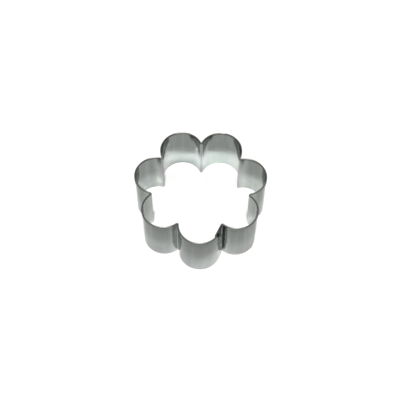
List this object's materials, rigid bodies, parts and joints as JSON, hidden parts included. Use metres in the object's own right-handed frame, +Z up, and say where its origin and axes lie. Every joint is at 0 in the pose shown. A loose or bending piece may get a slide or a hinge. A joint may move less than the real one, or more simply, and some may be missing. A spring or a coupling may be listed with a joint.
{
  "type": "flower pastry cutter",
  "caption": "Open flower-shaped biscuit and pastry cutter: a strip of tin-plated steel with a hemmed top edge, bent into round petals and closed by a spot-welded lap.",
  "frame": {"origin": "middle of the outline's box, on the plane of the cutting edge", "axes": "+Z up from the cutting edge to the hem, -Y towards the front petal, whose +X side carries the lap seam"},
  "size_m": [0.0606, 0.0596, 0.025],
  "materials": {
    "tinplate": "satin tin-plated sheet, cold rolled",
    "weld": "dull, pressed by the electrodes"
  },
  "bodies": {
    "root": {"cutter_band": "tinplate", "spot_weld_bottom": "weld", "spot_weld_middle": "weld", "spot_weld_top": "weld"}
  },
  "joints": []
}
